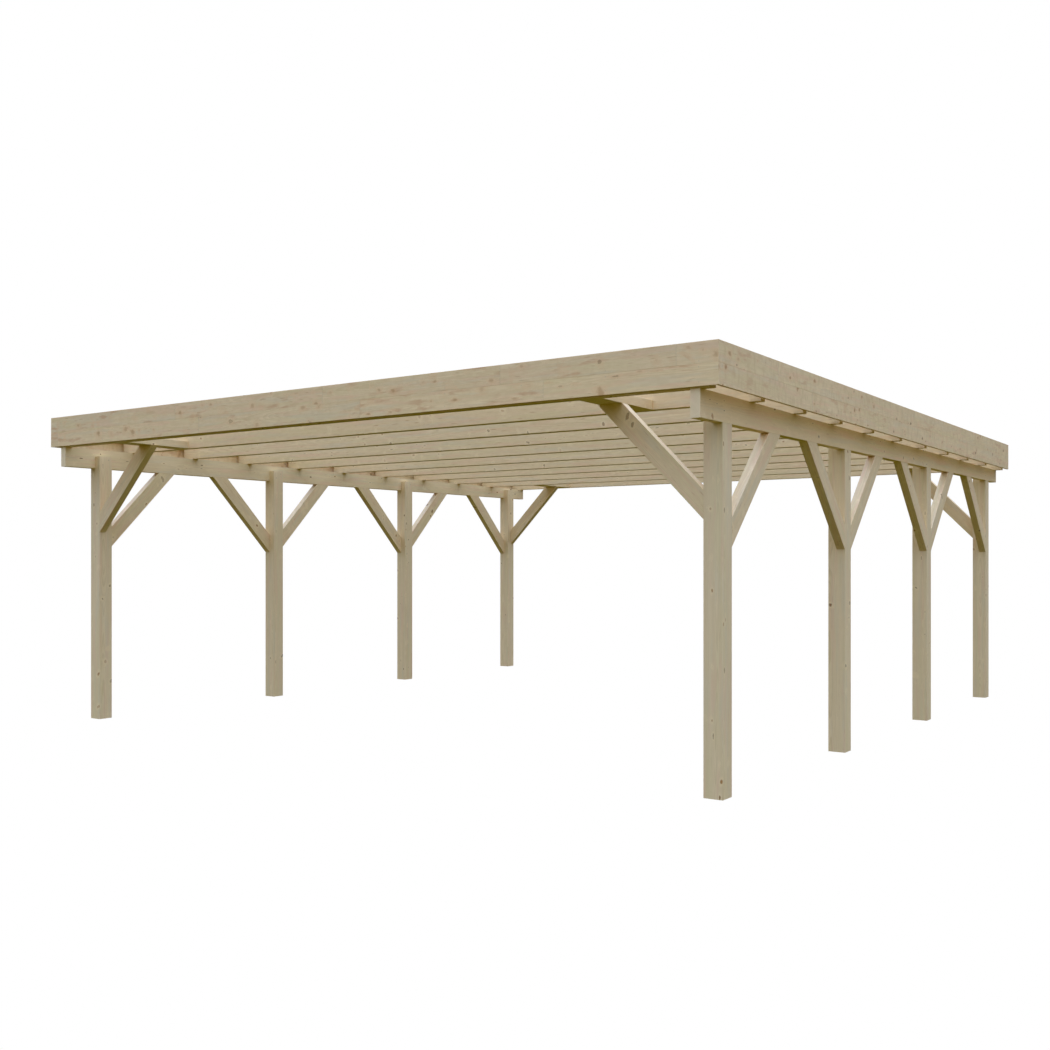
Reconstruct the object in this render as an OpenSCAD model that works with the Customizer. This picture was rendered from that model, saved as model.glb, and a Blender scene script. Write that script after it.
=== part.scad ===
// Double carport in planed softwood with a flat roof frame that falls slightly to the rear.
// Eight posts carry two tapered purlins, and eleven rafters lie across the purlins.
// The origin is on the ground under the middle of the roof, with the drive-in end towards -Y.

/* [Timber] */
// Bevel planed along the long edges of posts, purlins, rafters, noggins and braces
arris = 1.5; // [1:0.5:6]

/* [Posts] */
// Width over the outer faces of the two rows of posts
frame_w = 5850; // [3200:10:7000]
// Spacing of the posts along each side
post_pitch = 1954; // [1750:2:2400]
// Side of the square post
post_w = 120; // [100:5:160]
// Height of the shoulder that carries the purlin
post_h = 2115; // [1900:5:2600]
// Height of the tongue that stands behind the purlin
tongue_h = 100; // [60:5:115]

/* [Purlins] */
// Thickness of the purlin
purlin_t = 60; // [45:1:80]
// Height of the purlin at the front end
purlin_front_h = 160; // [150:1:220]
// Height of the purlin at the rear end
purlin_rear_h = 120; // [115:1:150]
// Length of purlin in front of the first post
front_overhang = 280; // [200:5:450]
// Length of purlin behind the last post
rear_overhang = 296; // [200:2:450]

/* [Rafters] */
// Thickness of the rafter
rafter_t = 60; // [40:1:80]
// Height of the rafter
rafter_h = 160; // [140:5:220]
// Length of rafter outside the purlin
rafter_overhang = 65; // [20:5:300]

/* [Noggins] */
// Width of the flat noggin above a cross brace
noggin_w = 160; // [80:5:200]
// Height of the noggin
noggin_h = 60; // [40:2:80]

/* [Braces] */
// Thickness of the knee brace
brace_t = 60; // [40:1:60]
// Width of the knee brace across its face
brace_w = 120; // [80:5:160]
// Length of the long edge along the post and along the head
brace_reach = 698; // [400:2:800]

/* [Fascia] */
// Thickness of the fascia board
fascia_t = 18; // [15:1:30]
// Height of one fascia board
board_h = 121; // [100:1:145]
// Height of the lower board edge above the rafter underside
fascia_lift = 6; // [0:1:15]
// Bevel along the long outer edges of a fascia board
board_bevel = 1; // [0.5:0.5:4]
// Thickness of the batten between the rafter ends and the side fascia
batten_t = 34; // [20:1:60]
// Height of the batten below the top of the rafters
batten_h = 60; // [40:5:140]

/* [Hidden] */
// Sides of the carport, as seen from the drive-in end
left = -1;
right = 1;
// Directions of a side brace along the purlin
forward = -1;
rearward = 1;
// Courses of the fascia
lower = 0;
upper = 1;
// Posts along each side and rafters along the roof
rows = 4;
rafters = 11;
// Excess of a cutting body past the piece that it cuts
cut = 5;

purlin_l = front_overhang + (rows - 1) * post_pitch + post_w + rear_overhang;
fall_a = atan((purlin_front_h - purlin_rear_h) / purlin_l);
roof_l = purlin_l / cos(fall_a);
rafter_pitch = (roof_l - rafter_t) / (rafters - 1);
rafter_end = frame_w / 2 + rafter_overhang;
fascia_in = rafter_end + batten_t;
fascia_out = fascia_in + fascia_t;
fascia_top = fascia_lift + 2 * board_h;
// Slanting cut of the brace at its foot and its head
brace_cut = brace_w * sqrt(2);
// Place across the carport where the short edge of a cross brace meets the roof
brace_head_x = frame_w / 2 - post_w - brace_reach + brace_cut;
// Front end of the purlins, set so that the roof edges lie evenly about the origin
front_y = (fascia_t * cos(fall_a) - fascia_lift * sin(fall_a) - purlin_l - fascia_top * sin(fall_a)) / 2;
roof_z = post_h + purlin_front_h;
softwood = "#b5a684";
sawn = "#a89872";
board = "#b3a68a";

// Front face of a post, counted from 1 at the drive-in end
function post_y(row) = front_y + front_overhang + (row - 1) * post_pitch;

// Height of the sloping roof plane over a place along the carport
function plane_z(y) = roof_z - (y - front_y) * tan(fall_a);

// Pieces drawn for the right side serve the left side by reflection
module on_side(side) {
    mirror([side == left ? 1 : 0, 0, 0])
        children();
}

// Roof frame, with its Y along the fall and its Z square to the sloping purlin tops
module on_roof() {
    translate([0, front_y, roof_z])
        rotate([-fall_a, 0, 0])
            children();
}

// Section of a planed timber with bevelled edges
module planed_section(w, h) {
    polygon([
        [arris, 0],
        [w - arris, 0],
        [w, arris],
        [w, h - arris],
        [w - arris, h],
        [arris, h],
        [0, h - arris],
        [0, arris]
    ]);
}

// Square post with a head notched to a shoulder outside and a tongue inside
module post(side, row) {
    color(softwood)
        on_side(side)
            translate([frame_w / 2 - post_w, post_y(row), 0])
                difference() {
                    linear_extrude(post_h + tongue_h)
                        planed_section(post_w, post_w);
                    translate([post_w - purlin_t, -cut, post_h])
                        cube([purlin_t + cut, post_w + 2 * cut, tongue_h + cut]);
                }
}

// Section of the purlin before its top is ripped to the fall, bevelled along the bottom edges
module purlin_section() {
    polygon([
        [arris, 0],
        [purlin_t - arris, 0],
        [purlin_t, arris],
        [purlin_t, purlin_front_h + cut],
        [0, purlin_front_h + cut],
        [0, arris]
    ]);
}

// Purlin on edge, level below and ripped to the roof fall above
module purlin(side) {
    color(softwood)
        on_side(side)
            difference() {
                translate([frame_w / 2 - purlin_t, front_y + purlin_l, post_h])
                    rotate([90, 0, 0])
                        linear_extrude(purlin_l)
                            purlin_section();
                on_roof()
                    translate([0, -cut, 0])
                        cube([frame_w, roof_l + 2 * cut, purlin_front_h]);
            }
}

// Rafter on edge across both purlins, counted from 1 at the drive-in end
module rafter(number) {
    color(softwood)
        on_roof()
            translate([-rafter_end, (number - 1) * rafter_pitch, 0])
                rotate([90, 0, 90])
                    linear_extrude(2 * rafter_end)
                        planed_section(rafter_t, rafter_h);
}

// Flat noggin behind a rafter, over the head of a cross brace
module noggin(side, number) {
    color(softwood)
        on_side(side)
            on_roof()
                translate([brace_head_x - noggin_w, number * rafter_pitch, 0])
                    rotate([90, 0, 0])
                        linear_extrude(rafter_pitch - rafter_t)
                            planed_section(noggin_w, noggin_h);
}

// Knee brace lying at 45 degrees, mitred at the post face and at a rise above the head plane
module knee_brace(rise) {
    intersection() {
        translate([0, -brace_reach, 0])
            rotate([0, 0, 45])
                rotate([90, 0, 90])
                    linear_extrude((brace_reach + rise) * sqrt(2))
                        planed_section(brace_w, brace_t);
        translate([0, -brace_reach, 0])
            cube([brace_reach + rise, brace_reach + rise, brace_t]);
    }
}

// Knee brace between a post and the purlin over it, flush with their outer faces
module side_brace(side, row, way) {
    foot_y = way == rearward ? post_y(row) + post_w : post_y(row);
    color(softwood)
        on_side(side)
            translate([frame_w / 2 - brace_t, foot_y, post_h])
                mirror([0, way == forward ? 1 : 0, 0])
                    rotate([90, 0, 90])
                        knee_brace(0);
}

// Knee brace between a corner post and a noggin, its head cut to the roof fall
module cross_brace(side, y) {
    color(softwood)
        on_side(side)
            difference() {
                translate([frame_w / 2 - post_w, y + brace_t, plane_z(y)])
                    mirror([1, 0, 0])
                        rotate([90, 0, 0])
                            knee_brace(cut);
                on_roof()
                    cube([frame_w / 2, roof_l, rafter_h]);
            }
}

// Batten along the rafter ends that the side fascia is fixed to
module batten(side) {
    color(sawn)
        on_side(side)
            on_roof()
                translate([rafter_end, 0, rafter_h - batten_h])
                    cube([batten_t, roof_l, batten_h]);
}

// Section of a fascia board, its back at the left and its bevelled face at the right
module board_section() {
    polygon([
        [0, 0],
        [fascia_t - board_bevel, 0],
        [fascia_t, board_bevel],
        [fascia_t, board_h - board_bevel],
        [fascia_t - board_bevel, board_h],
        [0, board_h]
    ]);
}

// Front fascia board, mitred at both corners
module front_fascia(course) {
    color(board)
        on_roof()
            translate([0, 0, fascia_lift + course * board_h])
                intersection() {
                    translate([-fascia_out, 0, 0])
                        rotate([90, 0, 90])
                            linear_extrude(2 * fascia_out)
                                mirror([1, 0, 0])
                                    board_section();
                    linear_extrude(board_h)
                        polygon([
                            [-fascia_in, 0],
                            [-fascia_out, -fascia_t],
                            [fascia_out, -fascia_t],
                            [fascia_in, 0]
                        ]);
                }
}

// Side fascia board, mitred at the front corner and square at the rear
module side_fascia(side, course) {
    color(board)
        on_side(side)
            on_roof()
                translate([fascia_in, 0, fascia_lift + course * board_h])
                    intersection() {
                        translate([0, roof_l, 0])
                            rotate([90, 0, 0])
                                linear_extrude(roof_l + fascia_t)
                                    board_section();
                        linear_extrude(board_h)
                            polygon([[0, 0], [fascia_t, -fascia_t], [fascia_t, roof_l], [0, roof_l]]);
                    }
}

post(left, 1);  // post_left_1
post(left, 2);  // post_left_2
post(left, 3);  // post_left_3
post(left, 4);  // post_left_4
post(right, 1);  // post_right_1
post(right, 2);  // post_right_2
post(right, 3);  // post_right_3
post(right, 4);  // post_right_4
purlin(left);  // purlin_left
purlin(right);  // purlin_right
rafter(1);  // rafter_01
rafter(2);  // rafter_02
rafter(3);  // rafter_03
rafter(4);  // rafter_04
rafter(5);  // rafter_05
rafter(6);  // rafter_06
rafter(7);  // rafter_07
rafter(8);  // rafter_08
rafter(9);  // rafter_09
rafter(10);  // rafter_10
rafter(11);  // rafter_11
noggin(left, 1);  // noggin_front_left
noggin(right, 1);  // noggin_front_right
noggin(left, rafters - 1);  // noggin_rear_left
noggin(right, rafters - 1);  // noggin_rear_right
side_brace(left, 1, rearward);  // side_brace_left_1_rear
side_brace(left, 2, forward);  // side_brace_left_2_front
side_brace(left, 2, rearward);  // side_brace_left_2_rear
side_brace(left, 3, forward);  // side_brace_left_3_front
side_brace(left, 3, rearward);  // side_brace_left_3_rear
side_brace(left, 4, forward);  // side_brace_left_4_front
side_brace(right, 1, rearward);  // side_brace_right_1_rear
side_brace(right, 2, forward);  // side_brace_right_2_front
side_brace(right, 2, rearward);  // side_brace_right_2_rear
side_brace(right, 3, forward);  // side_brace_right_3_front
side_brace(right, 3, rearward);  // side_brace_right_3_rear
side_brace(right, 4, forward);  // side_brace_right_4_front
cross_brace(left, post_y(1));  // cross_brace_front_left
cross_brace(right, post_y(1));  // cross_brace_front_right
cross_brace(left, post_y(rows) + post_w - brace_t);  // cross_brace_rear_left
cross_brace(right, post_y(rows) + post_w - brace_t);  // cross_brace_rear_right
batten(left);  // batten_left
batten(right);  // batten_right
front_fascia(lower);  // fascia_front_lower
front_fascia(upper);  // fascia_front_upper
side_fascia(left, lower);  // fascia_left_lower
side_fascia(left, upper);  // fascia_left_upper
side_fascia(right, lower);  // fascia_right_lower
side_fascia(right, upper);  // fascia_right_upper
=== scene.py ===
import math
import random

import bpy
from mathutils import Matrix, Vector


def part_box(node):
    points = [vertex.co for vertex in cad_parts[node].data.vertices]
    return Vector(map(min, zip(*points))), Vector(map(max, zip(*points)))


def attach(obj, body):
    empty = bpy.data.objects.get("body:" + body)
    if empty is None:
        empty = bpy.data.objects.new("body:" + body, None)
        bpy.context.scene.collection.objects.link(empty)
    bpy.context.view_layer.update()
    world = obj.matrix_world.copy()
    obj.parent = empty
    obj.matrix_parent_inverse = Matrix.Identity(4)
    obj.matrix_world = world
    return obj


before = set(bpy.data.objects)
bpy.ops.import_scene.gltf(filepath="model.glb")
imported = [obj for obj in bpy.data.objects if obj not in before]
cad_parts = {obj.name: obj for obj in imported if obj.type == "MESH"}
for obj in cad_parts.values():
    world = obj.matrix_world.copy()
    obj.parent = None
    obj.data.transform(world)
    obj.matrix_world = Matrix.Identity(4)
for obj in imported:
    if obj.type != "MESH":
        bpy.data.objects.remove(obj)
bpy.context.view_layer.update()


# Posts
# Eight square posts of planed spruce, pressure treated to a pale olive and eased along the edges.
# Each head is notched to a shoulder for the purlin, and its tongue is screwed to the purlin from inside.
# The sawn foot stands flat on the ground.
SPRUCE_PALE = (0.889, 0.697, 0.396, 1)
SPRUCE_RING = (0.677, 0.499, 0.239, 1)
SPRUCE_BLUSH = (0.846, 0.567, 0.331, 1)
SPRUCE_OLIVE = (0.725, 0.635, 0.285, 1)
SPRUCE_GREY = (0.717, 0.615, 0.4, 1)
SPRUCE_END = (0.846, 0.703, 0.442, 1)
# Painted shade: the darker, greyer colour laid over faces that turn to the sky
SPRUCE_TOP_SHADE = (0.53, 0.42, 0.245, 1)
KNOT_HEART = (0.50, 0.25, 0.075, 1)
KNOT_DEAD = (0.33, 0.175, 0.06, 1)
KNOT_BARK = (0.19, 0.095, 0.028, 1)
PITCH_BROWN = (0.56, 0.34, 0.15, 1)
PATCH_BROWN = (0.66, 0.41, 0.20, 1)


def add_node(tree, kind, inputs, **settings):
    """A shader node. inputs gives each socket, by name or number, a value or another node's output."""
    made = tree.nodes.new(kind)
    for setting, value in settings.items():
        setattr(made, setting, value)
    for socket, value in inputs.items():
        if isinstance(value, bpy.types.NodeSocket):
            tree.links.new(value, made.inputs[socket])
        else:
            made.inputs[socket].default_value = value
    return made


def number(tree, operation, *values):
    """The result of a Math node."""
    return add_node(tree, "ShaderNodeMath", dict(enumerate(values)), operation=operation).outputs[0]


def times(tree, *values):
    """Values multiplied together."""
    product = values[0]
    for value in values[1:]:
        product = number(tree, "MULTIPLY", product, value)
    return product


def plus(tree, *values):
    """Values added together."""
    total = values[0]
    for value in values[1:]:
        total = number(tree, "ADD", total, value)
    return total


def vector(tree, operation, *values):
    """The vector result of a Vector Math node."""
    return add_node(tree, "ShaderNodeVectorMath", dict(enumerate(values)), operation=operation).outputs[0]


def scaled(tree, arrow, scale):
    """A vector made longer by a number."""
    inputs = {"Vector": arrow, "Scale": scale}
    return add_node(tree, "ShaderNodeVectorMath", inputs, operation="SCALE").outputs[0]


def ease(tree, value, low, high, start=0.0, end=1.0):
    """A value brought smoothly from low..high to start..end."""
    inputs = {"Value": value, "From Min": low, "From Max": high, "To Min": start, "To Max": end}
    return add_node(tree, "ShaderNodeMapRange", inputs, interpolation_type="SMOOTHSTEP").outputs[0]


def noise(tree, place, detail, output="Fac"):
    """Soft noise over a place that is already scaled to the size of the pattern."""
    inputs = {"Vector": place, "Scale": 1.0, "Detail": detail}
    return add_node(tree, "ShaderNodeTexNoise", inputs).outputs[output]


def paint(tree, share, under, over, blend_type="MIX"):
    """One colour laid over another by a share from 0 to 1."""
    inputs = {"Factor": share, 6: under, 7: over}
    return add_node(tree, "ShaderNodeMix", inputs, data_type="RGBA", blend_type=blend_type).outputs[2]


def new_group(name, inputs, outputs):
    """An empty shader group, with what it is given and what it puts out."""
    group = bpy.data.node_groups.new(name, "ShaderNodeTree")
    for in_out, sockets in (("INPUT", inputs), ("OUTPUT", outputs)):
        for socket, kind in sockets.items():
            group.interface.new_socket(name=socket, in_out=in_out, socket_type="NodeSocket" + kind)
    return group, group.nodes.new("NodeGroupInput").outputs, group.nodes.new("NodeGroupOutput").inputs


def place_group(tree, group, inputs):
    """A shader group set into a material with its own values."""
    return add_node(tree, "ShaderNodeGroup", inputs, node_tree=group).outputs


# The patterns in the grain: length and width in metres, a shift that keeps them apart, and detail
PATTERNS = {
    "wander": (1.1, 50.0, 0.0, 1.0),
    "wave": (0.22, 0.05, 3.0, 2.0),
    "knot_edge": (0.022, 0.016, 7.0, 1.0),
    "streak": (1.3, 0.035, 11.0, 3.0),
    "blush": (0.42, 0.04, 23.0, 2.0),
    "olive": (0.9, 0.06, 37.0, 2.0),
    "grey": (0.5, 0.045, 43.0, 2.0),
    "fibre": (0.10, 0.0016, 51.0, 2.0),
    "mottle": (0.07, 0.016, 61.0, 3.0),
    "pitch": (0.10, 0.008, 71.0, 1.0),
    "figure": (0.030, 0.07, 83.0, 2.0),
    # The patches in which the painted shade on the sky-facing faces lies
    "top_shade_spread": (0.35, 0.05, 91.0, 3.0),
    "patch": (0.13, 0.032, 97.0, 3.0),
    "cluster": (0.5, 0.10, 103.0, 1.0),
}
# The noise at which a pattern starts and is full, and what it goes from and to where that isn't 0 and 1
LEVELS = {
    "knot_edge": (0.2, 0.8, 0.72, 1.3),
    "streak": (0.36, 0.66),
    "blush": (0.50, 0.68),
    "olive": (0.46, 0.68),
    "grey": (0.50, 0.68),
    "mottle": (0.36, 0.64),
    "pitch": (0.66, 0.80),
    "figure": (0.44, 0.68),
    # Where the painted shade on the sky-facing faces shows
    "top_shade_spread": (0.3, 0.7, 0.4, 0.85),
    "patch": (0.49, 0.69),
    "cluster": (0.48, 0.63),
}
# How much of its colour each pattern lays on the wood
SHARES = {
    "late": 0.40, "streak": 0.22, "olive": 0.30, "grey": 0.45, "blush": 0.55, "mottle": 0.24, "figure": 0.30,
    "fibre": 0.12, "patch": 0.85, "pitch": 0.6,
    "sawn_end": 0.5, "halo": 0.45, "knot_year": 0.4, "bark": 0.70,
}
# The trunk: how far its heart wanders and its grain waves, and how its branches climb
HEART_WANDER = 0.06
GRAIN_WAVE = 0.004
BRANCH_CLIMB = 0.35
# Knots lie one to a cell of a grid, with sizes in parts of a cell, and draw their own lots from the seed
KNOT_GRID = 0.09
KNOT_SIZES = (0.07, 0.17)
KNOT_LOT = 3.7
DEPTH_LOT = 7.3
# What lies in and round a knot, by how far out it is, where 1 is the knot's own radius
KNOT_OUTSIDE = 1.15
KNOT_INSIDE = 0.70
KNOT_SOFTENING = 0.6
BARK_FROM = (0.72, 0.98)
BARK_TO = (1.3, 1.02)
HALO_OUTSIDE = 3.0
HALO_INSIDE = 0.9
KNOT_YEARS = 3.6
KNOT_YEAR = (0.45, 0.95)
KNOT_DEPTHS = (0.55, 1.35)
# A year's ring, with the late wood in its last part
RING_WIDTH = 0.0036
RING_BULGE = 0.007
SLOW_YEARS = 0.35
SLOW_PULL = 2.6
LATE_FROM = (0.25, 0.9)
LATE_TO = (1.0, 0.93)
SAWN_END = (0.55, 0.75)
ROUGHNESS = {"planed": 0.54, "late": -0.09, "fibre": 0.08, "sawn_end": 0.10, "knot": -0.05}
RELIEF = {"late": 0.45, "fibre": 0.35, "knot": 0.8}


def make_spruce():
    """Solid spruce about the heart of the tree: rings, knots on branches, streaks, fibres and sawn ends."""
    group, given, result = new_group(
        "planed_spruce",
        {
            # One input carries the painted shade for faces that turn to the sky
            "Place": "Vector", "Facing": "Vector", "Top Shade": "Float", "Seed": "Float", "Tone": "Color",
            "Streaks": "Float", "Mottle": "Float", "Figure": "Float", "Knots": "Float", "Knot Size": "Float",
            "Knot Depth": "Float", "Knot Blur": "Float", "Dead Knots": "Float", "Spread": "Float",
            "Halo": "Color", "Patches": "Float",
        },
        {"Color": "Color", "Roughness": "Float", "Height": "Float"},
    )
    place, seed = given["Place"], given["Seed"]
    along = add_node(group, "ShaderNodeSeparateXYZ", {"Vector": place}).outputs["X"]
    tree_lot = add_node(group, "ShaderNodeCombineXYZ", {"X": seed, "Y": seed, "Z": seed}).outputs[0]

    def drawn_out(pattern, output="Fac"):
        """The noise of a pattern, long along the grain and narrow across it."""
        length, width, shift, detail = PATTERNS[pattern]
        shape = vector(group, "MULTIPLY", place, (1 / length, 1 / width, 1 / width))
        shape = vector(group, "ADD", vector(group, "ADD", shape, tree_lot), (shift, shift, shift))
        return noise(group, shape, detail, output)

    def shown(pattern):
        """A pattern at its levels."""
        return ease(group, drawn_out(pattern), *LEVELS[pattern])

    # The heart wanders along the trunk, and the grain waves a little on it
    half = (0.5, 0.5, 0.5)
    wander = vector(group, "SUBTRACT", drawn_out("wander", "Color"), half)
    wave = vector(group, "SUBTRACT", drawn_out("wave", "Color"), half)
    across = vector(group, "MULTIPLY", place, (0, 1, 1))
    across = vector(group, "ADD", across, vector(group, "MULTIPLY", wander, (0, HEART_WANDER, HEART_WANDER)))
    across = vector(group, "ADD", across, vector(group, "MULTIPLY", wave, (0, GRAIN_WAVE, GRAIN_WAVE)))
    radius = add_node(group, "ShaderNodeVectorMath", {0: across}, operation="LENGTH").outputs["Value"]

    # Branches run out from the heart, so a knot passes through the piece from face to face
    branch = scaled(group, vector(group, "NORMALIZE", across), given["Spread"])
    climb = number(group, "SUBTRACT", along, times(group, radius, BRANCH_CLIMB))
    climb = number(group, "DIVIDE", climb, KNOT_GRID)
    climb = add_node(group, "ShaderNodeCombineXYZ", {"X": climb}).outputs[0]
    branch = vector(group, "ADD", vector(group, "ADD", branch, climb), scaled(group, tree_lot, KNOT_LOT))
    cell = add_node(group, "ShaderNodeTexVoronoi", {"Vector": branch, "Scale": 1.0}).outputs
    luck = add_node(group, "ShaderNodeSeparateColor", {"Color": cell["Color"]}).outputs
    grown = number(group, "LESS_THAN", luck["Red"], given["Knots"])
    dead = number(group, "LESS_THAN", luck["Blue"], given["Dead Knots"])
    size = times(group, ease(group, luck["Green"], 0.0, 1.0, *KNOT_SIZES), given["Knot Size"])
    reach = times(group, number(group, "DIVIDE", cell["Distance"], size), shown("knot_edge"))
    blur = times(group, given["Knot Blur"], KNOT_SOFTENING)
    edge = ease(group, reach, plus(group, KNOT_OUTSIDE, blur), number(group, "SUBTRACT", KNOT_INSIDE, blur))
    knot = times(group, grown, edge)
    bark = times(group, ease(group, reach, *BARK_FROM), ease(group, reach, *BARK_TO))
    bark = times(group, grown, dead, bark, number(group, "SUBTRACT", 1.0, given["Knot Blur"]))
    halo = times(group, grown, ease(group, reach, plus(group, HALO_OUTSIDE, blur, blur), HALO_INSIDE))

    # Growth rings bulge round each knot and lie closer in slow years
    years = number(group, "DIVIDE", plus(group, radius, times(group, halo, RING_BULGE)), RING_WIDTH)
    weather = {"X": times(group, years, SLOW_YEARS), "Y": seed}
    weather = add_node(group, "ShaderNodeCombineXYZ", weather).outputs[0]
    years = plus(group, years, times(group, noise(group, weather, detail=0.0), SLOW_PULL))
    season = number(group, "FRACT", years)
    late = times(group, ease(group, season, *LATE_FROM), ease(group, season, *LATE_TO))

    # Streaks of the treatment, warmer heartwood, fine fibres and brown pitch lie along the grain
    rings = plus(group, times(group, late, SHARES["late"]), times(group, shown("streak"), SHARES["streak"]))
    colour = paint(group, rings, SPRUCE_PALE, SPRUCE_RING)
    for pattern, strength, over in (
        ("olive", "Streaks", SPRUCE_OLIVE),
        ("grey", "Streaks", SPRUCE_GREY),
        ("blush", "Streaks", SPRUCE_BLUSH),
        ("mottle", "Mottle", SPRUCE_RING),
        ("figure", "Figure", SPRUCE_RING),
    ):
        share = times(group, shown(pattern), given[strength], SHARES[pattern])
        colour = paint(group, share, colour, over)
    fibre = drawn_out("fibre")
    colour = paint(group, times(group, fibre, SHARES["fibre"]), colour, SPRUCE_RING)
    patch = times(group, shown("patch"), shown("cluster"))
    colour = paint(group, times(group, patch, given["Patches"], SHARES["patch"]), colour, PATCH_BROWN)
    pitch = times(group, shown("pitch"), given["Mottle"], SHARES["pitch"])
    colour = paint(group, pitch, colour, PITCH_BROWN)
    colour = paint(group, 1.0, colour, given["Tone"], "MULTIPLY")

    # Sawn ends are paler, faces turned to the sky take a painted shade that darkens and greys them, and the
    # knots lie in all of it
    facing = add_node(group, "ShaderNodeSeparateXYZ", {"Vector": given["Facing"]}).outputs["X"]
    sawn_end = ease(group, number(group, "ABSOLUTE", facing), *SAWN_END)
    colour = paint(group, times(group, sawn_end, SHARES["sawn_end"]), colour, SPRUCE_END)
    colour = paint(group, times(group, halo, SHARES["halo"]), colour, given["Halo"])
    colour = paint(group, times(group, given["Top Shade"], shown("top_shade_spread")), colour, SPRUCE_TOP_SHADE)
    knot_year = ease(group, number(group, "FRACT", times(group, reach, KNOT_YEARS)), *KNOT_YEAR)
    core = paint(group, dead, KNOT_HEART, KNOT_DEAD)
    core = paint(group, times(group, knot_year, SHARES["knot_year"]), core, KNOT_BARK)
    depth = number(group, "FRACT", times(group, luck["Green"], DEPTH_LOT))
    depth = ease(group, depth, 0.0, 1.0, *KNOT_DEPTHS)
    colour = paint(group, times(group, knot, depth, given["Knot Depth"]), colour, core)
    colour = paint(group, times(group, bark, SHARES["bark"]), colour, KNOT_BARK)
    group.links.new(colour, result["Color"])

    # Late wood is planed smoother and stands up from the soft wood, and so do the knots
    shapes = {"late": late, "fibre": fibre, "sawn_end": sawn_end, "knot": knot}
    rough = [times(group, shape, ROUGHNESS[name]) for name, shape in shapes.items()]
    group.links.new(plus(group, *rough, ROUGHNESS["planed"]), result["Roughness"])
    height = [times(group, shapes[name], rise) for name, rise in RELIEF.items()]
    group.links.new(plus(group, *height), result["Height"])
    return group


planed_spruce = make_spruce()
# How far a face must turn to the sky before it takes the painted shade
TOP_SHADE_SLOPE = (0.80, 0.97)
SEEDS = 40


def middle(node):
    """The middle of a node's box."""
    low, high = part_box(node)
    return (Vector(low) + Vector(high)) / 2


def lay_grain(name, grain, side, heart):
    """A material for a piece, with the place on it from the tree's heart, its grain along the first axis.
    heart is how far the heart of the tree lies from the piece's middle, across the grain."""
    grain, side = Vector(grain).normalized(), Vector(side).normalized()
    turn = Matrix((grain, side, grain.cross(side))).transposed()
    origin = middle(name) + turn @ Vector((0, heart[0], heart[1]))
    material = bpy.data.materials.new(name + "_spruce")
    material.use_nodes = True
    tree = material.node_tree
    coordinates = add_node(tree, "ShaderNodeTexCoord", {}).outputs
    inputs = {"Vector": coordinates["Object"], "Location": origin, "Rotation": turn.to_euler()}
    place = add_node(tree, "ShaderNodeMapping", inputs, vector_type="TEXTURE").outputs[0]
    inputs = {"Vector": coordinates["Normal"], "Rotation": turn.to_euler()}
    facing = add_node(tree, "ShaderNodeMapping", inputs, vector_type="TEXTURE").outputs[0]
    # Painted shade: faces that turn to the sky are marked here to be darkened and greyed in the wood's
    # colour
    skyward = add_node(tree, "ShaderNodeSeparateXYZ", {"Vector": coordinates["Normal"]}).outputs["Z"]
    top_shade = ease(tree, skyward, *TOP_SHADE_SLOPE)
    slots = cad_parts[name].data.materials
    slots.clear()
    slots.append(material)
    seed = random.Random(name).uniform(0, SEEDS)
    return tree, {"Place": place, "Facing": facing, "Top Shade": top_shade, "Seed": seed}


PLANED_RELIEF = 0.0006
GRAIN_BUMP = 0.5


def finish_wood(tree, colour, roughness, height, relief=PLANED_RELIEF):
    """Takes a wood's colour, roughness and relief to the shader of its material."""
    shader = tree.nodes["Principled BSDF"]
    tree.links.new(colour, shader.inputs["Base Color"])
    tree.links.new(roughness, shader.inputs["Roughness"])
    bump = {"Height": height, "Strength": GRAIN_BUMP, "Distance": relief}
    tree.links.new(add_node(tree, "ShaderNodeBump", bump).outputs[0], shader.inputs["Normal"])


def planed(name, grain, side, heart, grade):
    """Dresses a piece in planed spruce of a grade."""
    tree, laid = lay_grain(name, grain, side, heart)
    wood = place_group(tree, planed_spruce, {**laid, **grade})
    finish_wood(tree, wood["Color"], wood["Roughness"], wood["Height"])


ALONG, ACROSS, UP = (0, 1, 0), (1, 0, 0), (0, 0, 1)
SIDES = ("left", "right")
POST_ROWS = (1, 2, 3, 4)
POST_HEART = 0.05
KNOT_GLOW = (0.967, 0.772, 0.432, 1)
POST_GRADE = {
    "Tone": (1.0, 1.02, 1.05, 1), "Streaks": 0.8, "Mottle": 0.4, "Figure": 0.1, "Patches": 0.0,
    "Knots": 0.38, "Knot Size": 1.0, "Knot Depth": 0.85, "Knot Blur": 0.25, "Dead Knots": 0.6,
    "Spread": 1.4, "Halo": KNOT_GLOW,
}
for side in SIDES:
    for row in POST_ROWS:
        chance = random.Random(f"post {side} {row}")
        heart = (chance.uniform(-POST_HEART, POST_HEART), chance.uniform(-POST_HEART, POST_HEART))
        planed(f"post_{side}_{row}", UP, ACROSS, heart, POST_GRADE)

SCREW_HEAD = 0.012
SCREW_SIDES = 12
SCREW_PROUD = 0.0007
SCREW_SUNK = 0.0012
SCREW_RIM = SCREW_HEAD * 0.10
STAR_INSET = SCREW_HEAD * 0.17
STAR_REACH = SCREW_HEAD * 0.3
STAR_DEPTH = 0.0009
STAR_WAIST = 0.7
FLAT_TOP = 0.9


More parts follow.
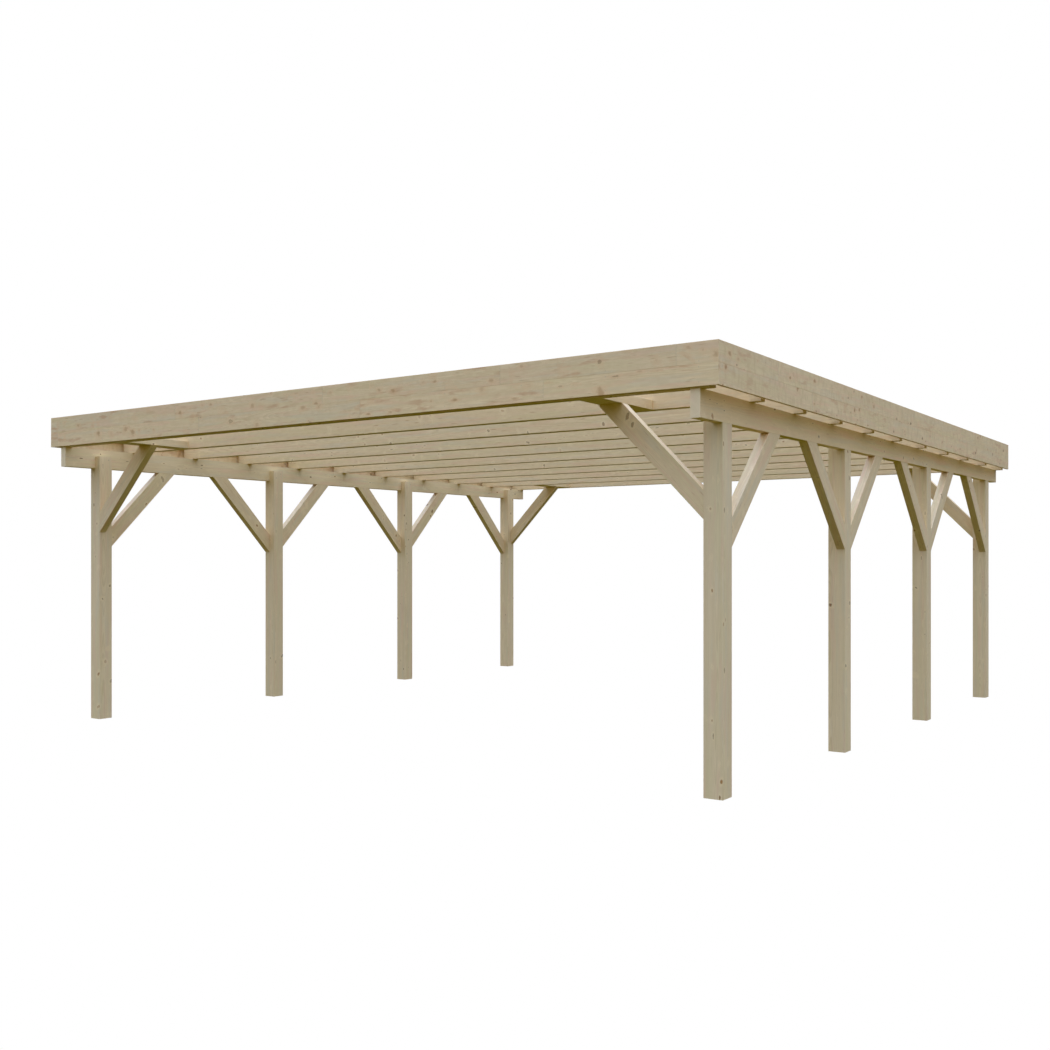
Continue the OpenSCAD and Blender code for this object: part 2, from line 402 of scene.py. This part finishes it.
def model_screw():
    """The head of a countersunk screw, its rim rounded over and a star pressed into it for the driver."""
    bpy.ops.object.select_all(action="DESELECT")
    bpy.ops.mesh.primitive_cylinder_add(
        vertices=SCREW_SIDES, radius=SCREW_HEAD / 2, depth=SCREW_PROUD + SCREW_SUNK,
        location=(0, 0, (SCREW_PROUD - SCREW_SUNK) / 2),
    )
    bpy.ops.object.transform_apply(location=True)
    head = bpy.context.object
    bpy.ops.object.mode_set(mode="EDIT")
    bpy.ops.mesh.select_mode(type="FACE")
    bpy.ops.mesh.select_all(action="DESELECT")
    bpy.ops.object.mode_set(mode="OBJECT")
    for face in head.data.polygons:
        face.select = face.normal.z > FLAT_TOP
    bpy.ops.object.mode_set(mode="EDIT")
    bpy.ops.transform.translate(value=(0, 0, -SCREW_PROUD / 2))
    bpy.ops.mesh.inset(thickness=SCREW_RIM)
    bpy.ops.transform.translate(value=(0, 0, SCREW_PROUD / 2))
    bpy.ops.mesh.inset(thickness=STAR_INSET)
    bpy.ops.mesh.extrude_region_move(TRANSFORM_OT_translate={"value": (0, 0, -STAR_DEPTH)})
    bpy.ops.mesh.select_mode(type="VERT")
    bpy.ops.mesh.select_all(action="DESELECT")
    bpy.ops.object.mode_set(mode="OBJECT")
    for point in head.data.vertices:
        turned = round(math.atan2(point.co.y, point.co.x) / (math.tau / SCREW_SIDES))
        point.select = turned % 2 == 1 and math.hypot(point.co.x, point.co.y) < STAR_REACH
    bpy.ops.object.mode_set(mode="EDIT")
    bpy.ops.transform.resize(value=(STAR_WAIST, STAR_WAIST, 1), center_override=(0, 0, 0))
    bpy.ops.mesh.select_all(action="SELECT")
    bpy.ops.mesh.normals_make_consistent(inside=False)
    bpy.ops.object.mode_set(mode="OBJECT")
    return head


TAN_COAT = (0.70, 0.54, 0.31, 1)
TAN_WORN = (0.58, 0.46, 0.28, 1)
RUBS_PER_METRE = 420.0
RUBBED = (0.42, 0.68)
COAT_TO_RUBBED_ROUGH = (0.5, 0.34)
RUBBED_METAL = 0.3


def make_tan_coat():
    """The tan coat on a steel screw, rubbed thin in patches by the driver."""
    material = bpy.data.materials.new("tan_screw_coat")
    material.use_nodes = True
    tree = material.node_tree
    place = add_node(tree, "ShaderNodeTexCoord", {}).outputs["Object"]
    rubbed = ease(tree, noise(tree, scaled(tree, place, RUBS_PER_METRE), detail=2.0), *RUBBED)
    shader = tree.nodes["Principled BSDF"]
    tree.links.new(paint(tree, rubbed, TAN_COAT, TAN_WORN), shader.inputs["Base Color"])
    tree.links.new(ease(tree, rubbed, 0.0, 1.0, *COAT_TO_RUBBED_ROUGH), shader.inputs["Roughness"])
    tree.links.new(times(tree, rubbed, RUBBED_METAL), shader.inputs["Metallic"])
    return material


screw_head = model_screw()
screw_head.data.materials.append(make_tan_coat())


def screw_on(name, spots, width=SCREW_HEAD):
    """Drives screws and joins their heads in one piece.
    A spot is the node that takes the screw, a point in front of it and the way in."""
    graph = bpy.context.evaluated_depsgraph_get()
    bpy.ops.object.select_all(action="DESELECT")
    for count, (node, start, way) in enumerate(spots):
        met, spot, facing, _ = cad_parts[node].ray_cast(start, way, depsgraph=graph)
        assert met, f"{name} {count} misses {node}"
        turn = Matrix.Rotation(random.Random(f"{name} {count}").uniform(0, math.tau), 4, "Z")
        head = screw_head.copy()
        head.data = screw_head.data.copy()
        head.matrix_world = (
            Matrix.Translation(spot) @ facing.to_track_quat("Z", "Y").to_matrix().to_4x4()
            @ turn @ Matrix.Scale(width / SCREW_HEAD, 4)
        )
        bpy.context.scene.collection.objects.link(head)
        head.select_set(True)
        bpy.context.view_layer.objects.active = head
    bpy.ops.object.join()
    bpy.ops.object.transform_apply(location=True, rotation=True, scale=True)
    screws = bpy.context.object
    screws.name = name
    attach(screws, "root")


# Each screw's height over the shoulder, and how far it stands aside
TONGUE_SCREWS = ((0.030, -0.028), (0.072, 0.028))
spots = []
for side, way in (("left", -1), ("right", 1)):
    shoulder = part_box(f"purlin_{side}")[0][2]
    for row in POST_ROWS:
        centre = middle(f"post_{side}_{row}")
        for rise, aside in TONGUE_SCREWS:
            start = Vector((centre.x - way, centre.y + aside, shoulder + rise))
            spots.append((f"post_{side}_{row}", start, Vector((way, 0, 0))))
screw_on("post_screws", spots)


# Purlins
# A spruce purlin lies on edge on the shoulders of each row of posts.
# Its top is ripped to the fall of the roof, and it is screwed to the posts' tongues.
PURLIN_HEART = (0.07, -0.01)
PURLIN_TONES = {"left": (1.03, 1.045, 1.045, 1), "right": (1.085, 1.065, 1.03, 1)}
PURLIN_GRADE = {**POST_GRADE, "Streaks": 1.0, "Mottle": 0.7, "Knots": 0.45}
for side, tone in PURLIN_TONES.items():
    planed(f"purlin_{side}", ALONG, ACROSS, PURLIN_HEART, {**PURLIN_GRADE, "Tone": tone})


# Knee braces
# Spruce braces at 45 degrees, mitred at both ends, stiffen the posts along and across the carport.
# Two screws at each end go in through the lower edge.
ENDS = ("front", "rear")
BRACE_HEART = (0.06, 0.02)
BRACE_GRADE = {**POST_GRADE, "Tone": (1.02, 1.02, 1.02, 1), "Streaks": 1.0, "Mottle": 1.0, "Knots": 0.6}
for side in SIDES:
    for brace in ("1_rear", "2_front", "2_rear", "3_front", "3_rear", "4_front"):
        lean = 1 if brace.endswith("rear") else -1
        planed(f"side_brace_{side}_{brace}", (0, lean, 1), ACROSS, BRACE_HEART, BRACE_GRADE)
    for end in ENDS:
        lean = 1 if side == "left" else -1
        planed(f"cross_brace_{end}_{side}", (lean, 0, 1), ALONG, BRACE_HEART, BRACE_GRADE)

# Each screw's distance from the end of the brace, and how far it stands aside
BRACE_SCREWS = ((0.045, -0.014), (0.080, 0.014))
spots = []
for brace in (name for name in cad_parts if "_brace_" in name):
    low, high = (Vector(corner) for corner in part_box(brace))
    if brace.startswith("side"):
        lean = Vector((0, 1 if brace.endswith("rear") else -1, 0))
        aside = Vector(ACROSS)
    else:
        lean = Vector((1 if brace.endswith("left") else -1, 0, 0))
        aside = Vector(ALONG)
    run, inward = (lean + Vector(UP)).normalized(), (Vector(UP) - lean).normalized()
    half_length = (high.z - low.z) / math.sqrt(2)
    for tip in (-1, 1):
        for inset, shift in BRACE_SCREWS:
            face = middle(brace) + run * tip * (half_length - inset) + aside * shift
            spots.append((brace, face - inward, inward))
screw_on("brace_screws", sorted(spots, key=lambda spot: (spot[0], spot[1].z, spot[1].x, spot[1].y)))


# Rafters
# Eleven spruce rafters on edge lie across both purlins and run past them, close to the side fascia.
# A long screw from above holds each rafter down on each purlin.
RAFTERS = [f"rafter_{count:02}" for count in range(1, 12)]
RAFTER_HEART_ASIDE = (0.05, 0.09)
RAFTER_HEART_RISE = (-0.05, 0.05)
RAFTER_GRADE = {
    **POST_GRADE, "Tone": (1.0, 0.985, 0.96, 1), "Streaks": 1.0, "Mottle": 1.1, "Figure": 0.2,
    "Knots": 0.42, "Knot Depth": 0.64,
}
for count, rafter in enumerate(RAFTERS, 1):
    chance = random.Random(f"rafter {count}")
    aside = chance.choice((-1, 1)) * chance.uniform(*RAFTER_HEART_ASIDE)
    planed(rafter, ACROSS, ALONG, (aside, chance.uniform(*RAFTER_HEART_RISE)), RAFTER_GRADE)

ABOVE_ROOF = 3.0
spots = []
for rafter in RAFTERS:
    for side in SIDES:
        start = Vector((middle(f"purlin_{side}").x, middle(rafter).y, ABOVE_ROOF))
        spots.append((rafter, start, Vector((0, 0, -1))))
screw_on("rafter_screws", spots)


# Noggins
# A flat spruce noggin between the end rafters takes the head of each cross brace.
# It is screwed through the rafters into its end grain.
NOGGIN_HEART = (0.02, 0.07)
for end in ENDS:
    for side in SIDES:
        planed(f"noggin_{end}_{side}", ALONG, ACROSS, NOGGIN_HEART, BRACE_GRADE)

NOGGIN_SCREWS = (-0.045, 0.045)
spots = []
for rafter, end, way in (("rafter_02", "front", -1), ("rafter_10", "rear", 1), ("rafter_11", "rear", -1)):
    for side in SIDES:
        centre = middle(f"noggin_{end}_{side}")
        for aside in NOGGIN_SCREWS:
            start = Vector((centre.x + aside, middle(rafter).y - way, centre.z))
            spots.append((rafter, start, Vector((0, way, 0))))
screw_on("noggin_screws", spots)


# Battens
# A spruce batten along the top of the rafter ends on each side backs the joint of the side boards.
# It is screwed to the rafters and left rough from the saw, which marks it in bands across the grain.
SAW_STROKE = 0.006
SAW_SLANT = 0.14
SAW_JERKS_PER_METRE = 14.0
SAW_JERK = 2.4
SAW_TOOTH = (0.15, 0.85)
SAW_FADES_PER_METRE = 31.0
SAW_FADE = (0.3, 0.7, 0.25, 1.0)


def make_saw_marks():
    """Bands left across the grain by the blade of a saw, uneven and a little aslant."""
    group, given, result = new_group("saw_marks", {"Place": "Vector", "Seed": "Float"}, {"Band": "Float"})
    split = add_node(group, "ShaderNodeSeparateXYZ", {"Vector": given["Place"]}).outputs
    jerk = noise(group, scaled(group, given["Place"], SAW_JERKS_PER_METRE), detail=2.0)
    run = plus(group, split["X"], times(group, plus(group, split["Y"], split["Z"]), SAW_SLANT))
    run = plus(group, number(group, "DIVIDE", run, SAW_STROKE), times(group, jerk, SAW_JERK), given["Seed"])
    tooth = ease(group, number(group, "PINGPONG", run, 1.0), *SAW_TOOTH)
    fade = noise(group, scaled(group, given["Place"], SAW_FADES_PER_METRE), detail=1.0)
    fade = ease(group, fade, *SAW_FADE)
    group.links.new(times(group, tooth, fade), result["Band"])
    return group


saw_marks = make_saw_marks()
SAW_DUST = (0.62, 0.46, 0.25, 1)
DUST_SHARE = 0.3
SAWN_ROUGHER = 0.16
BAND_ROUGHER = 0.08
BAND_RISE = 1.6
SAWN_RELIEF = 0.0009
BATTEN_HEART = (0.07, 0.02)
BATTEN_GRADE = {**BRACE_GRADE, "Tone": (0.90, 0.926, 0.936, 1)}
for side in SIDES:
    tree, laid = lay_grain(f"batten_{side}", ALONG, ACROSS, BATTEN_HEART)
    wood = place_group(tree, planed_spruce, {**laid, **BATTEN_GRADE})
    band = place_group(tree, saw_marks, {"Place": laid["Place"], "Seed": laid["Seed"]})["Band"]
    colour = paint(tree, times(tree, band, DUST_SHARE), wood["Color"], SAW_DUST)
    roughness = plus(tree, wood["Roughness"], SAWN_ROUGHER, times(tree, band, BAND_ROUGHER))
    height = plus(tree, wood["Height"], times(tree, band, BAND_RISE))
    finish_wood(tree, colour, roughness, height, SAWN_RELIEF)


# Fascia
# Two courses of finger-jointed spruce board hide the rafter ends at the front and along both sides.
# The boards butt tightly and meet in a mitre at the front corners.
# Small screws hold them to the front rafter, the rafter ends and the battens.
FINGER_LENGTH = 0.010
FINGER_PITCH = 0.0038
TREE_SHIFT = (19, 0.15, 0.12)
TREE_DARK = (0.945, 0.945, 0.96, 1)
TREE_LIGHT = (1.045, 1.04, 1.015, 1)
GLUE_LINE = (0.0014, 0.0005)


def make_finger_joints():
    """Cuts the grain into lengths that meet in glued fingers, each from another tree and of its own tone."""
    group, given, result = new_group(
        "finger_joints",
        {"Place": "Vector", "Seed": "Float", "Length": "Float"},
        {"Place": "Vector", "Tone": "Color", "Glue": "Float"},
    )
    split = add_node(group, "ShaderNodeSeparateXYZ", {"Vector": given["Place"]}).outputs
    finger = number(group, "PINGPONG", split["Z"], FINGER_PITCH / 2)
    run = plus(group, split["X"], times(group, finger, 2 * FINGER_LENGTH / FINGER_PITCH))
    run = plus(group, number(group, "DIVIDE", run, given["Length"]), given["Seed"])
    inputs = {"W": run, "Scale": 1.0}
    tree_of = add_node(group, "ShaderNodeTexVoronoi", inputs, voronoi_dimensions="1D").outputs["Color"]
    settings = {"voronoi_dimensions": "1D", "feature": "DISTANCE_TO_EDGE"}
    edge = add_node(group, "ShaderNodeTexVoronoi", inputs, **settings).outputs["Distance"]
    shift = vector(group, "MULTIPLY", vector(group, "SUBTRACT", tree_of, (0.5, 0.5, 0.5)), TREE_SHIFT)
    group.links.new(vector(group, "ADD", given["Place"], shift), result["Place"])
    luck = add_node(group, "ShaderNodeSeparateColor", {"Color": tree_of}).outputs
    group.links.new(paint(group, luck["Green"], TREE_DARK, TREE_LIGHT), result["Tone"])
    group.links.new(ease(group, times(group, edge, given["Length"]), *GLUE_LINE), result["Glue"])
    return group


finger_joints = make_finger_joints()
JOINT_SPACING = 1.5
GLUE = (0.40, 0.32, 0.20, 1)
GLUE_SHARE = 0.5


def jointed_board(name, grain, side, heart, grade):
    """Dresses a fascia board in finger-jointed spruce of a grade."""
    tree, laid = lay_grain(name, grain, side, heart)
    inputs = {"Place": laid["Place"], "Seed": laid["Seed"], "Length": JOINT_SPACING}
    lengths = place_group(tree, finger_joints, inputs)
    wood = place_group(tree, planed_spruce, {**laid, **grade, "Place": lengths["Place"]})
    colour = paint(tree, 1.0, wood["Color"], lengths["Tone"], "MULTIPLY")
    colour = paint(tree, times(tree, lengths["Glue"], GLUE_SHARE), colour, GLUE)
    finish_wood(tree, colour, wood["Roughness"], wood["Height"])


COURSES = ("lower", "upper")
FASCIA_HEART = (0.08, 0.02)
FASCIA_HALO = (0.83, 0.55, 0.27, 1)
FRONT_GRADE = {
    "Tone": (1.02, 1.005, 0.98, 1), "Streaks": 1.0, "Mottle": 1.2, "Figure": 0.3, "Patches": 1.0,
    "Knots": 0.4, "Knot Size": 1.5, "Knot Depth": 0.5, "Knot Blur": 0.55, "Dead Knots": 0.06,
    "Spread": 1.5, "Halo": FASCIA_HALO,
}
SIDE_GRADE = {
    **FRONT_GRADE, "Tone": (1.035, 1.02, 0.995, 1), "Figure": 1.8, "Patches": 0.8,
    "Knots": 0.58, "Knot Size": 1.1, "Knot Depth": 0.75, "Knot Blur": 0.4, "Dead Knots": 0.3,
}
for course in COURSES:
    jointed_board(f"fascia_front_{course}", ACROSS, ALONG, FASCIA_HEART, FRONT_GRADE)
    for side in SIDES:
        jointed_board(f"fascia_{side}_{course}", ALONG, ACROSS, FASCIA_HEART, SIDE_GRADE)

# Heights of the screws over the middle of the rafter behind them
FASCIA_SCREW = 0.006
FRONT_SCREWS = {"lower": (-0.050, 0.030), "upper": (0.062,)}
SIDE_SCREWS = {"lower": (0.030,), "upper": (0.062,)}
FRONT_SPACING = 0.585
FRONT_SPACES = 5
spots = []
for course in COURSES:
    board = f"fascia_front_{course}"
    for count in range(-FRONT_SPACES, FRONT_SPACES + 1):
        for rise in FRONT_SCREWS[course]:
            start = Vector((count * FRONT_SPACING, middle(board).y - 1, middle("rafter_01").z + rise))
            spots.append((board, start, Vector((0, 1, 0))))
    for side, way in (("left", 1), ("right", -1)):
        board = f"fascia_{side}_{course}"
        for rafter in RAFTERS:
            for rise in SIDE_SCREWS[course]:
                start = Vector((middle(board).x - way, middle(rafter).y, middle(rafter).z + rise))
                spots.append((board, start, Vector((way, 0, 0))))
screw_on("fascia_screws", spots, FASCIA_SCREW)
bpy.data.objects.remove(screw_head)


# Studio
# A plain pale floor under a soft dome of daylight, bright overhead and falling off to the horizon.
# A little warm light comes back from the ground, and the camera looks in past the right front corner.
FLOOR_SIZE = 120
FLOOR_DROP = 0.001
bpy.ops.object.select_all(action="DESELECT")
bpy.ops.mesh.primitive_plane_add(size=FLOOR_SIZE, location=(0, 0, -FLOOR_DROP))
floor = bpy.context.object
floor.name = "floor"
paper = bpy.data.materials.new("pale_floor")
paper.use_nodes = True
floor_shader = paper.node_tree.nodes["Principled BSDF"].inputs
floor_shader["Base Color"].default_value = (0, 0, 0, 1)
floor_shader["Specular IOR Level"].default_value = 0
floor_shader["Emission Color"].default_value = (1, 1, 1, 1)
floor_shader["Emission Strength"].default_value = 1
floor.data.materials.append(paper)
floor.visible_diffuse = False
floor.visible_glossy = False
floor.visible_shadow = False

ZENITH = (1.778, 2.145, 3.214, 1)
HORIZON = (0.22, 0.156, 0.018, 1)
GROUND = (0.116, 0.108, 0.008, 1)
dome = bpy.data.worlds.new("soft_dome")
bpy.context.scene.world = dome
dome.use_nodes = True
sky = dome.node_tree
sky.nodes.clear()
direction = add_node(sky, "ShaderNodeTexCoord", {}).outputs["Generated"]
upward = add_node(sky, "ShaderNodeSeparateXYZ", {"Vector": direction}).outputs["Z"]
light = paint(sky, upward, HORIZON, ZENITH)
light = paint(sky, number(sky, "GREATER_THAN", upward, 0.0), GROUND, light)
soft = add_node(sky, "ShaderNodeBackground", {"Color": light})
white = add_node(sky, "ShaderNodeBackground", {"Color": (1, 1, 1, 1)})
seen = add_node(sky, "ShaderNodeLightPath", {}).outputs["Is Camera Ray"]
mixed = add_node(sky, "ShaderNodeMixShader", {0: seen, 1: soft.outputs[0], 2: white.outputs[0]})
add_node(sky, "ShaderNodeOutputWorld", {"Surface": mixed.outputs[0]})
bpy.context.scene.view_settings.view_transform = "Standard"

EYE = (5.757, -8.9465, 1.3537)
TURN = math.radians(35.082)
FOCAL_LENGTH = 39.87
SENSOR_WIDTH = 36
HORIZON_SHIFT = 0.0319
lens = bpy.data.cameras.new("camera")
lens.lens = FOCAL_LENGTH
lens.sensor_width = SENSOR_WIDTH
lens.shift_y = HORIZON_SHIFT
camera = bpy.data.objects.new("camera", lens)
camera.location = EYE
camera.rotation_euler = (math.pi / 2, 0, TURN)
bpy.context.scene.collection.objects.link(camera)
bpy.context.scene.camera = camera
